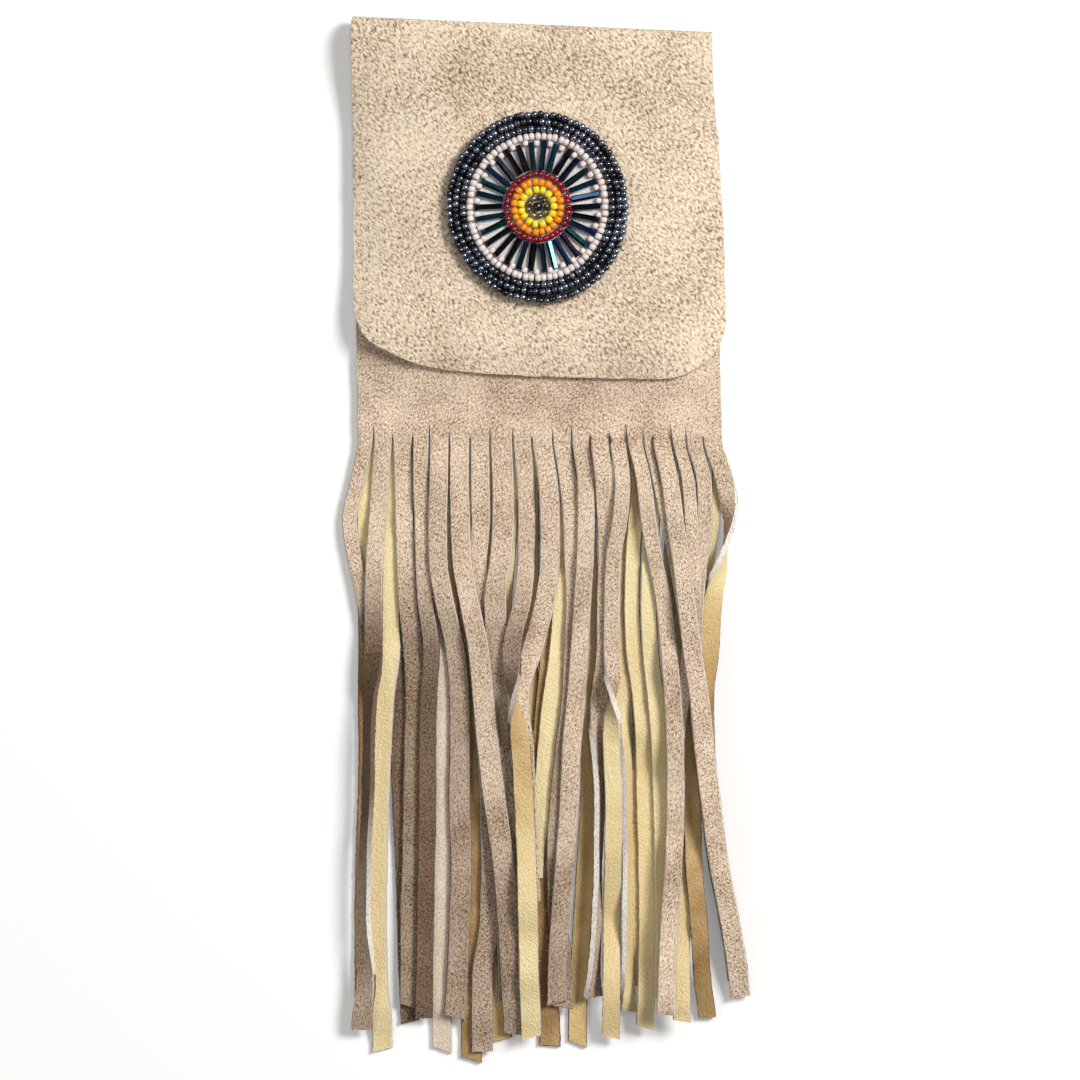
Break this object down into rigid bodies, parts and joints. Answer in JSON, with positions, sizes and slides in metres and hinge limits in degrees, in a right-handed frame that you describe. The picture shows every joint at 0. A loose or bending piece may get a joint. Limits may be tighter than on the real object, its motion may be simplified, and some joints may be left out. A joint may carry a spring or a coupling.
{
  "type": "beaded medicine bag",
  "caption": "Fringed suede pouch with a fold-over flap that carries a round beaded rosette of concentric rings and radiating tube beads.",
  "frame": {"origin": "on the rear face of the back panel, near the middle of the pocket, with the bag lying flat on its back", "axes": "+X across the bag to the viewer's right, +Y up the bag from the fringe to the fold, +Z out of the front of the flap"},
  "size_m": [0.1309, 0.3353, 0.0152],
  "materials": {
    "suede": "napped suede, light sand",
    "suede_panel": "napped suede, pinkish tan",
    "grain_leather": "smooth grain side, pale yellow",
    "felt": "white felt",
    "gunmetal_bead": "dark metallic glass",
    "bronze_bead": "olive bronze metallic glass",
    "yellow_bead": "opaque yellow glass",
    "orange_bead": "opaque orange glass",
    "red_bead": "deep red glass",
    "white_bead": "opaque pinkish white glass",
    "black_bead": "black cut glass",
    "bugle_glass": "dark iridescent teal glass"
  },
  "bodies": {
    "bag": {"back_panel": "grain_leather", "front_panel": "suede_panel"},
    "flap": {"flap": "suede", "rosette_backing": "felt", "center_bead": "gunmetal_bead", "bronze_ring": "bronze_bead", "yellow_ring": "yellow_bead", "orange_ring": "orange_bead", "red_ring": "red_bead", "white_ring": "white_bead", "black_row_1": "black_bead", "black_row_2": "black_bead", "black_row_3": "black_bead", "bugle_bead_01": "bugle_glass", "bugle_bead_02": "bugle_glass", "bugle_bead_03": "bugle_glass", "bugle_bead_04": "bugle_glass", "bugle_bead_05": "bugle_glass", "bugle_bead_06": "bugle_glass", "bugle_bead_07": "bugle_glass", "bugle_bead_08": "bugle_glass", "bugle_bead_09": "bugle_glass", "bugle_bead_10": "bugle_glass", "bugle_bead_11": "bugle_glass", "bugle_bead_12": "bugle_glass", "bugle_bead_13": "bugle_glass", "bugle_bead_14": "bugle_glass", "bugle_bead_15": "bugle_glass", "bugle_bead_16": "bugle_glass", "bugle_bead_17": "bugle_glass", "bugle_bead_18": "bugle_glass", "bugle_bead_19": "bugle_glass", "bugle_bead_20": "bugle_glass", "bugle_bead_21": "bugle_glass", "bugle_bead_22": "bugle_glass", "bugle_bead_23": "bugle_glass", "bugle_bead_24": "bugle_glass", "bugle_bead_25": "bugle_glass", "bugle_bead_26": "bugle_glass", "bugle_bead_27": "bugle_glass", "bugle_bead_28": "bugle_glass", "bugle_bead_29": "bugle_glass", "bugle_bead_30": "bugle_glass"}
  },
  "joints": [
    {"name": "flap_fold", "type": "hinge", "parent": "bag", "child": "flap", "pos_m": [0, 0.0656, 0.0054], "axis": [-0.999, 0.0436, 0], "range_deg": [0, 170]}
  ]
}
